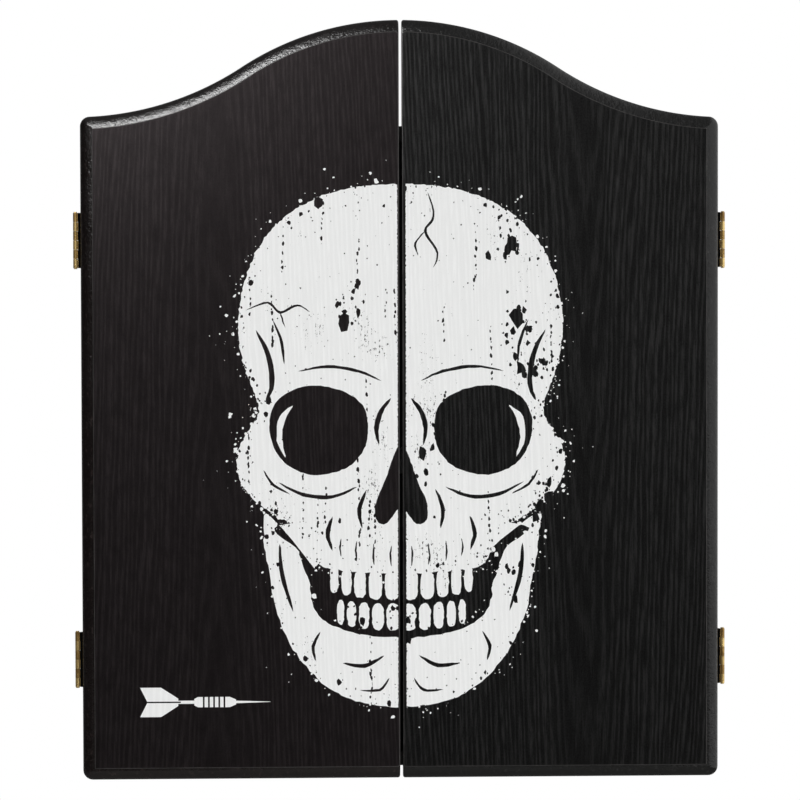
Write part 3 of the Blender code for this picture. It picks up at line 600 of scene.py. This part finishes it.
# The right half of each symmetrical shape, from the top down.
CRANIUM = [(0, 214), (34, 212), (68, 203), (97, 185), (118, 158), (129, 126), (132, 96), (128, 68), (119, 44)]
CRANIUM += [(116, 28), (124, 14), (133, -4), (131, -26), (118, -44), (100, -56), (84, -66), (74, -82), (66, -96)]
CRANIUM += [(40, -101), (0, -103)]
MANDIBLE = [(104, -58), (112, -72), (108, -100), (101, -136), (86, -168), (62, -194), (34, -208), (0, -212)]
MANDIBLE += [(0, -150), (34, -148), (58, -136), (74, -112), (84, -84), (92, -62)]
SOCKET = [(27, 12), (31, 34), (50, 47), (78, 50), (101, 38), (107, 14), (97, -10), (74, -22), (48, -18), (33, -6)]
SOCKET_LIGHT = [(88, 34), (99, 25), (101, 6), (94, -8), (97, 8), (94, 24)]
NOSE = [(0, 3), (5, -4), (12, -24), (21, -46), (20, -60), (12, -62), (4, -52), (0, -50)]
SEPTUM = [(0, -20), (1.2, -34), (2.2, -50), (0, -58)]
BITE = [(0, -98), (30, -97), (56, -91), (70, -97), (74, -118), (66, -138), (40, -151), (0, -155)]
STROKES = [
    ([(118, 96), (108, 76), (105, 52), (110, 38)], 4.5),
    ([(104, 104), (97, 86), (95, 68)], 2.4),
    ([(8, 40), (16, 30), (20, 16), (18, 2)], 4.2),
    ([(16, 54), (34, 62), (60, 66), (84, 62)], 2.6),
    ([(36, -32), (56, -40), (80, -38), (100, -28)], 3.2),
    ([(28, -34), (34, -50), (32, -66)], 3.2),
    ([(112, -18), (104, -30), (90, -38)], 2.2),
    ([(56, -56), (60, -70), (56, -84)], 3.4),
    ([(8, -80), (9, -88), (8, -97)], 1.5),
    ([(22, -78), (23, -88), (22, -96)], 1.5),
    ([(36, -76), (37, -84), (36, -93)], 1.5),
    ([(49, -74), (50, -82), (49, -89)], 1.5),
    ([(99, -78), (97, -104), (88, -134)], 3.6),
    ([(14, -170), (30, -178), (48, -176)], 3.2),
    ([(10, -188), (18, -198), (34, -198)], 2.2),
    ([(66, -150), (72, -162), (70, -174)], 2.8),
]
CRACKS = [
    ([(22, 208), (27, 188), (20, 176), (30, 158), (26, 146)], 2.2),
    ([(20, 176), (12, 166), (14, 156)], 1.6),
    ([(-126, 112), (-108, 118), (-98, 110), (-84, 116), (-74, 110)], 2.0),
    ([(-98, 110), (-94, 98)], 1.4),
]


def teeth():
    """Both rows of teeth of the right half, narrowing and rising towards the cheek."""
    made = []
    for roof, foot, width in ((-101, -124, 13.2), (-128, -149, 11.8)):
        x = 0.7
        for i in range(5):
            wide = width * (1 - 0.1 * i)
            lift = 5.5 * (x / 60) ** 2
            top, low = roof + lift, foot + lift * 1.6
            tooth = [(x + 0.6, top - 5), (x + wide * 0.3, top), (x + wide * 0.7, top), (x + wide - 0.6, top - 5)]
            tooth += [(x + wide - 0.9, low + 4), (x + wide * 0.7, low), (x + wide * 0.3, low), (x + 0.9, low + 4)]
            made.append(tooth)
            x += wide + 1.3
    return made


def skull_shapes():
    """A plain symmetrical skull, worn and spattered: shapes in painting order."""
    rng = random.Random(5)
    noise.seed_set(5)  # without a seed, noise_vector gives other values at each start of Blender
    outlines = [loop_through(both_halves(CRANIUM), 14)]
    outlines += [loop_through(both_halves(MANDIBLE[:8]) + both_halves(MANDIBLE[8:])[::-1], 8)]
    shapes = [(roughened(outlines[1], 1.2), True)]
    shapes += [(roughened(loop_through(both_halves(BITE), 9), 1.0), False)]
    shapes += [(roughened(outlines[0], 1.2), True)]
    for whole, inked in ((NOSE, False), (SEPTUM, True)):
        shapes.append((roughened(loop_through(both_halves(whole), 9), 0.7), inked))
    halves = [(SOCKET, False, 9), (SOCKET_LIGHT, True, 5)] + [(tooth, True, 5) for tooth in teeth()]
    for half, inked, steps in halves:
        for copy in (half, mirrored(half)):
            shapes.append((roughened(loop_through(copy, steps), 0.7), inked))
    for points, width in STROKES:
        for copy in (points, mirrored(points)):
            shapes.append((roughened(stroke(copy, width), 0.5), False))
    for points, width in CRACKS:
        shapes.append((roughened(stroke(points, width), 0.6), False))
    return shapes + wear(outlines, rng)


def wear(outlines, rng):
    """Spatter round the print, and chips in it: along its edges, in patches and in runs down the grain."""
    spots = []
    edges = [point for outline in outlines for point in outline]
    for _ in range(SPATTER):
        base = edges[rng.randrange(len(edges))]
        drift = base.normalized() * rng.expovariate(1 / 4.5) + Vector((rng.gauss(0, 1.5), rng.gauss(0, 1.5)))
        spots.append((blob(base + drift, 0.25 + rng.expovariate(1 / 0.45), rng), True))
    for _ in range(EDGE_CHIPS):
        base = edges[rng.randrange(len(edges))]
        drift = base.normalized() * -rng.expovariate(1 / 6.0) + Vector((rng.gauss(0, 1.5), rng.gauss(0, 1.5)))
        spots.append((blob(base + drift, 0.25 + rng.expovariate(1 / 0.5), rng, 1.3), False))
    for _ in range(PATCHES):
        middle = Vector((rng.uniform(-118, 118), rng.uniform(-190, 185)))
        for _ in range(rng.randrange(14, 34)):
            place = middle + Vector((rng.gauss(0, 7), rng.gauss(0, 12)))
            spots.append((blob(place, 0.4 + rng.expovariate(1 / 0.9), rng, 1.5), False))
    for _ in range(RUNS):
        x, z = rng.uniform(-125, 125), rng.uniform(-170, 205)
        for _ in range(rng.randrange(5, 16)):
            z -= rng.uniform(1.5, 8)
            x += rng.gauss(0, 0.5)
            spots.append((blob(Vector((x, z)), rng.uniform(0.3, 1.2), rng, 1.9), False))
    for _ in range(SPECKS):
        place = Vector((rng.uniform(-130, 130), rng.uniform(-205, 210)))
        spots.append((blob(place, rng.uniform(0.25, 0.75), rng), False))
    return spots


def dart_shapes():
    """A small dart, pointing right, at the foot of the left door."""
    middle = Vector((-160, -207))

    def placed(points):
        return [middle + Vector(p) for p in points]

    flight = [(-53, 12), (-36, 12), (-22, 3), (-22, -3), (-36, -12), (-53, -12), (-47, 0)]
    shaft = [(-24, 1.3), (-8, 1.3), (-8, -1.3), (-24, -1.3)]
    barrel = [(-9, 2.6), (-6, 4.2), (20, 4.2), (25, 2), (25, -2), (20, -4.2), (-6, -4.2), (-9, -2.6)]
    point = [(24, 1.1), (53, 0.15), (53, -0.15), (24, -1.1)]
    shapes = [(placed(part), True) for part in (flight, shaft, barrel, point)]
    shapes.append((placed([(-50, 0.6), (-20, 0.6), (-20, -0.6), (-50, -0.6)]), False))
    for i in range(5):
        x = -2 + 4.2 * i
        shapes.append((placed([(x, 5), (x + 1.4, 5), (x + 1.4, -5), (x, -5)]), False))
    return shapes


# The case, the hardware and the fittings inside, from their CAD solids.


def softened(node, material, width):
    """A node's shape with its sharp edges rounded."""
    source = frame["nodes"][node]
    bm = bmesh.new()
    bm.from_mesh(source.data)
    bmesh.ops.remove_doubles(bm, verts=bm.verts, dist=MERGE)
    bmesh.ops.dissolve_limit(bm, angle_limit=math.radians(1), verts=bm.verts, edges=bm.edges)
    sharp = [edge for edge in bm.edges if edge.is_manifold and edge.calc_face_angle() > math.radians(35)]
    bmesh.ops.bevel(bm, geom=sharp, offset=width, segments=2, profile=0.5, affect="EDGES", clamp_overlap=True)
    return add(node + "_eased", bm, source["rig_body"], [material], node, math.radians(25))


def profile_of(node):
    """A turned node's (axis, middle, profile), with the profile as (radius, place along the axis)."""
    low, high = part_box(node)
    size, middle = high - low, (low + high) / 2
    axis = max(range(3), key=lambda i: size[i])
    rows = {}
    for vertex in frame["nodes"][node].data.vertices:
        offset = vertex.co - middle
        along = offset[axis]
        offset[axis] = 0
        rows.setdefault(round(along / MM, 2), set()).add(round(offset.length / MM, 2))
    profile = []
    for along in sorted(rows):
        last = profile[-1][0] if profile else 0
        profile += [(radius * MM, along * MM) for radius in sorted(rows[along], key=lambda r: abs(r * MM - last))]
    return axis, middle, profile


def lathed(node, material, recess=False):
    """A turned node, made finer, with a cross recess in its head if asked."""
    axis, middle, profile = profile_of(node)
    direction = Vector((0, 0, 0))
    direction[axis] = 1
    if profile[1][1] - profile[0][1] > profile[-1][1] - profile[-2][1]:  # the head is at the far end
        profile = [(radius, -along) for radius, along in reversed(profile)]
        direction = -direction
    place = Matrix.Translation(middle) @ Vector((0, 0, 1)).rotation_difference(direction).to_matrix().to_4x4()
    bm = bmesh.new()
    rings = []
    for radius, along in profile:
        count = TURNED_STEPS if radius > 0 else 1
        angles = [math.tau * i / TURNED_STEPS for i in range(count)]
        rings.append([bm.verts.new((radius * math.cos(a), radius * math.sin(a), along)) for a in angles])
    for lower, upper in zip(rings, rings[1:]):
        if recess and lower is rings[0]:
            continue
        for i in range(TURNED_STEPS):
            corners = [lower[i % len(lower)], lower[(i + 1) % len(lower)]]
            corners += [upper[(i + 1) % len(upper)], upper[i % len(upper)]]
            bm.faces.new(list(dict.fromkeys(corners)))
    for ring in (rings[0], rings[-1]):
        if len(ring) > 1:
            bm.faces.new(ring)
    if recess:
        bm.verts.remove(rings[0][0])
        cross_into(bm, rings[1], profile[1], profile[0][1])
    bmesh.ops.transform(bm, matrix=place, verts=bm.verts)
    bmesh.ops.recalc_face_normals(bm, faces=bm.faces)
    rims = [e for e in bm.edges if e.is_manifold and e.calc_face_angle() > math.radians(50)]
    bmesh.ops.bevel(bm, geom=rims, offset=0.12 * MM, segments=2, profile=0.5, affect="EDGES", clamp_overlap=True)
    body = frame["nodes"][node]["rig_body"]
    return add(node + "_turned", bm, body, [material], node, math.radians(35))


def cross_into(bm, rim, rim_place, top):
    """Closes a screw's head, from the rim's ring of points in, with a tapered cross recess."""
    reach, half = 0.62 * rim_place[0], 0.15 * rim_place[0]
    quarter = [(reach, -half), (reach, half), (half, half)]
    cross = []
    for turn in range(4):
        for x, y in quarter:
            for _ in range(turn):
                x, y = -y, x
            cross.append((x, y))
    depth = 0.45 * rim_place[0]
    lip = [bm.verts.new((x, y, top)) for x, y in cross]
    floor = [bm.verts.new((0.72 * x, 0.72 * y, top + depth)) for x, y in cross]
    count = len(cross)
    edges = [bm.edges.new((lip[i], lip[(i + 1) % count])) for i in range(count)]
    edges += [bm.edges.get((rim[i], rim[(i + 1) % len(rim)])) for i in range(len(rim))]
    bmesh.ops.triangle_fill(bm, use_beauty=True, edges=edges)
    for i in range(count):
        bm.faces.new([lip[i], lip[(i + 1) % count], floor[(i + 1) % count], floor[i]])
    bm.faces.new(floor)


def bar_into(bm, low, high, bottom, top):
    """Adds a flat bar in a scoreboard's plane, between two opposite (across, z) corners."""
    (x0, z0), (x1, z1) = low, high
    corners = [(x0, z0), (x1, z0), (x1, z1), (x0, z1)]
    lower = [bm.verts.new((x, bottom, z)) for x, z in corners]
    upper = [bm.verts.new((x, top, z)) for x, z in corners]
    bm.faces.new(lower)
    bm.faces.new(upper)
    for i in range(4):
        bm.faces.new([lower[i], lower[(i + 1) % 4], upper[(i + 1) % 4], upper[i]])


def numeral_into(bm, text, middle, height, thick):
    """Adds a numeral that reads from +Y, centred on a point."""
    curve = bpy.data.curves.new("numeral", "FONT")
    curve.body = text
    curve.size = height / 0.7
    curve.align_x, curve.align_y = "CENTER", "CENTER"
    curve.extrude = thick / 2
    curve.resolution_u = 4
    obj = bpy.data.objects.new("numeral", curve)
    bpy.context.scene.collection.objects.link(obj)
    graph = bpy.context.evaluated_depsgraph_get()
    mesh = bpy.data.meshes.new_from_object(obj.evaluated_get(graph))
    facing = Matrix(((-1, 0, 0), (0, 0, 1), (0, 1, 0))).to_4x4()
    mesh.transform(Matrix.Translation(middle) @ facing)
    bm.from_mesh(mesh)
    bpy.data.objects.remove(obj)
    bpy.data.curves.remove(curve)
    bpy.data.meshes.remove(mesh)


def score_lines(side_name, material):
    """Ruled lines on a scoreboard: the left one has a column of numerals, the right one two plain columns."""
    low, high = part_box(f"{side_name}_scoreboard")
    face, thick, wide, inset = high.y, 0.06 * MM, 1.1 * MM, 7 * MM
    x0, x1, z0, z1 = low.x + inset, high.x - inset, low.z + inset, high.z - inset
    middle, rows = (x0 + x1) / 2, 8
    pitch = (z1 - z0) / rows
    levels = [z0 + pitch * i for i in range(rows + 1)] if side_name == "left" else [z0, z1 - pitch, z1]
    uprights = [middle - 17 * MM, middle + 17 * MM] if side_name == "left" else [middle]
    uprights = [x0, *uprights, x1]
    bm = bmesh.new()
    half, slit = wide / 2, 0.02 * MM
    for x in uprights:
        bar_into(bm, (x - half, z0 - half), (x + half, z1 + half), face, face + thick)
    for z in levels:
        for left, right in zip(uprights, uprights[1:]):
            bar_into(bm, (left + half + slit, z - half), (right - half - slit, z + half), face, face + thick)
    if side_name == "left":
        for i in range(6):
            centre = Vector((middle, face + thick / 2, z1 - pitch * (1.5 + i)))
            numeral_into(bm, str(20 - i), centre, 17 * MM, thick)
    add(f"{side_name}_scoreboard_print", bm, f"{side_name}_door", [material])


def case_and_fittings(materials):
    """Every node but the doors' boards, each made finer in the way that suits it; the rails are only repainted."""
    widths = {"brass": 0.12 * MM, "steel": 0.3 * MM, "lining": 0.5 * MM, "writing": 0.3 * MM, "ferrite": 0.4 * MM}
    for node in sorted(frame["nodes"]):
        if node.endswith("door_panel"):
            continue
        slot_name = SLOTS[node]
        material = materials[slot_name]
        if "screw" in node:
            lathed(node, material, recess=True)
        elif node.endswith("hinge_pin"):
            lathed(node, material)
        elif "leaf" in node:
            softened(node, materials["door_leaf" if "door_leaf" in node else "case_leaf"], widths["brass"])
        elif node.endswith("rail"):
            repaint(material, node)
        else:
            softened(node, material, widths.get(slot_name, 0.35 * MM))


# Camera, lights and surroundings.


def make_camera():
    """A long lens, a little to the left of the middle and above it."""
    place = Vector((-0.0774, -2.5, 0.1065))
    pitch, yaw, roll = math.radians(1.612), math.radians(1.82), math.radians(-0.136)
    ahead = Vector((math.sin(yaw) * math.cos(pitch), math.cos(yaw) * math.cos(pitch), -math.sin(pitch)))
    right = Vector((math.cos(yaw), -math.sin(yaw), 0))
    up = right.cross(ahead)
    turn = Matrix((right, up, -ahead)).transposed().to_4x4() @ Matrix.Rotation(roll, 4, "Z")
    data = bpy.data.cameras.new("camera")
    data.lens = 133.4
    data.clip_end = 200
    camera = bpy.data.objects.new("camera", data)
    bpy.context.scene.collection.objects.link(camera)
    camera.matrix_world = Matrix.Translation(place) @ turn
    bpy.context.scene.camera = camera


def make_light(name, place, target, size, power, lit=True, mirrored=True):
    data = bpy.data.lights.new(name, "AREA")
    data.shape = "RECTANGLE"
    data.size, data.size_y = size
    data.energy = power
    light = bpy.data.objects.new(name, data)
    bpy.context.scene.collection.objects.link(light)
    light.location = place
    light.visible_diffuse = lit
    light.visible_glossy = mirrored
    light.rotation_euler = (Vector(target) - Vector(place)).to_track_quat("-Z", "Y").to_euler()


def make_world():
    """White to look at. As light, a wide white panel on the right, less from above and behind, dark elsewhere."""
    world = bpy.data.worlds.new("studio")
    world.use_nodes = True
    bpy.context.scene.world = world
    sky = Graph(world.node_tree)
    x, y, z = sky.node("SeparateXYZ", Vector=sky.node("TexCoord").outputs["Generated"]).outputs
    right = sky.spread(x, 0.25, 0.5, 0, 0.9)
    above = sky.times(sky.spread(z, 0.3, 0.7, 0, 0.22), sky.spread(x, -0.9, -0.5))
    behind = sky.spread(y, 0.2, 0.8, 0, 0.3)
    glow = sky.times(sky.spread(z, -0.04, 0.2, 0, 1), sky.spread(z, 0.34, 0.46, 1, 0))
    ahead = sky.times(glow, sky.times(sky.spread(y, -0.85, -0.95), sky.spread(x, -0.1, 0.1)))
    light = sky.calc("MAXIMUM", sky.calc("MAXIMUM", right, above), sky.add(sky.add(behind, ahead), 0.03))
    seen = sky.node("LightPath").outputs["Is Camera Ray"]
    background = sky.tree.nodes["Background"]
    background.inputs["Color"].default_value = (1, 1, 1, 1)
    sky.fill(background.inputs["Strength"], sky.calc("MAXIMUM", seen, light))


def make_floor():
    """A pale floor, 1.73 m below the board's centre, as a board is hung."""
    bm = bmesh.new()
    bmesh.ops.create_grid(bm, x_segments=1, y_segments=1, size=5)
    bmesh.ops.translate(bm, verts=bm.verts, vec=(0, 0, -1.73))
    mesh = bpy.data.meshes.new("floor")
    bm.to_mesh(mesh)
    bm.free()
    surface = Surface("floor_pale", (0.8, 0.8, 0.79), 0.7)
    surface.put("Base Color", surface.mix(surface.noise((2, 2, 2), 3), (0.3, 0.3, 0.29), (0.36, 0.36, 0.35)))
    mesh.materials.append(surface.material)
    floor = bpy.data.objects.new("floor", mesh)
    bpy.context.scene.collection.objects.link(floor)


def repaint(material, node):
    mesh = frame["nodes"][node].data
    mesh.materials.clear()
    mesh.materials.append(material)


def main():
    scene = bpy.context.scene
    scene.view_settings.view_transform = "Standard"
    make_camera()
    make_world()
    make_floor()
    make_light("key", (-0.42, -0.75, 0.66), (-0.1, 0, 0.1), (0.32, 0.32), 9.2, lit=False)
    make_light("left_sheen", (-0.7, -0.95, 0.55), (-0.25, 0, 0.2), (0.4, 0.35), 0.9, lit=False)
    make_light("front_fill", (0.1, -3.2, -0.3), (0, 0, -0.05), (1.4, 1.4), 68, mirrored=False)

    # The left door's border paint is redder and its foil edge lighter than the right's: painted light from the lamps
    # on the upper left, on what is one paint.
    borders = {
        "left": satin_paint("black_paint_left", (0.0052, 0.0034, 0.0032)),
        "right": satin_paint("black_paint_right", (0.0036, 0.0035, 0.0034)),
    }
    edges = {"left": foil_edge("foil_edge_left", 1.25), "right": foil_edge("foil_edge_right", 1)}
    # The left door's foil is lighter and pinker than the right's, with pink-tinted reflections: painted light from
    # the upper left, on what is one foil.
    looks = {
        "left": (True, (0.0012, 0.0009, 0.001), (0.0108, 0.0088, 0.0092), (0.26, 0.47), 0.7, (1, 0.87, 0.89)),
        "right": (False, (0.001, 0.001, 0.001), (0.0085, 0.0083, 0.0081), (0.14, 0.62), 0.15),
    }
    skull = skull_shapes()
    for side_name, look in looks.items():
        face = ash_foil(f"{side_name}_ash_foil", *look)
        door_panel(side_name, face, borders[side_name], edges[side_name])
        shapes = skull + dart_shapes() if side_name == "left" else skull
        margin = {"left": 0.6 * MM, "right": 2 * MM}[side_name]
        printed(f"{side_name}_door_print", shapes, side_name, margin, ink(f"{side_name}_ink", look[0]))

    lines = line_paint("scoreboard_lines")
    for side_name in SIDES:
        score_lines(side_name, lines)

    gold, brown = (0.95, 0.69, 0.28), (0.2, 0.1, 0.03)
    case_and_fittings(
        {
            "paint": satin_paint("black_case_paint", (0.006, 0.0058, 0.0057), (0.42, 0.55)),
            "lining": matt_board("black_matt_board"),
            "writing": writing_face("writing_surface"),
            "plastic": moulded("moulded_black_plastic"),
            "brass": brass_plate("brass_plate", gold, brown, 0.4),
            "case_leaf": brass_plate("brass_case_leaf", gold, brown, 0.3, shade_strip=True),
            "door_leaf": brass_plate("brass_door_leaf", (0.58, 0.38, 0.13), brown, 1, shade_strip=True),
            "steel": zinc_plate("zinc_plated_steel"),
            "ferrite": sintered("ferrite"),
        }
    )


main()
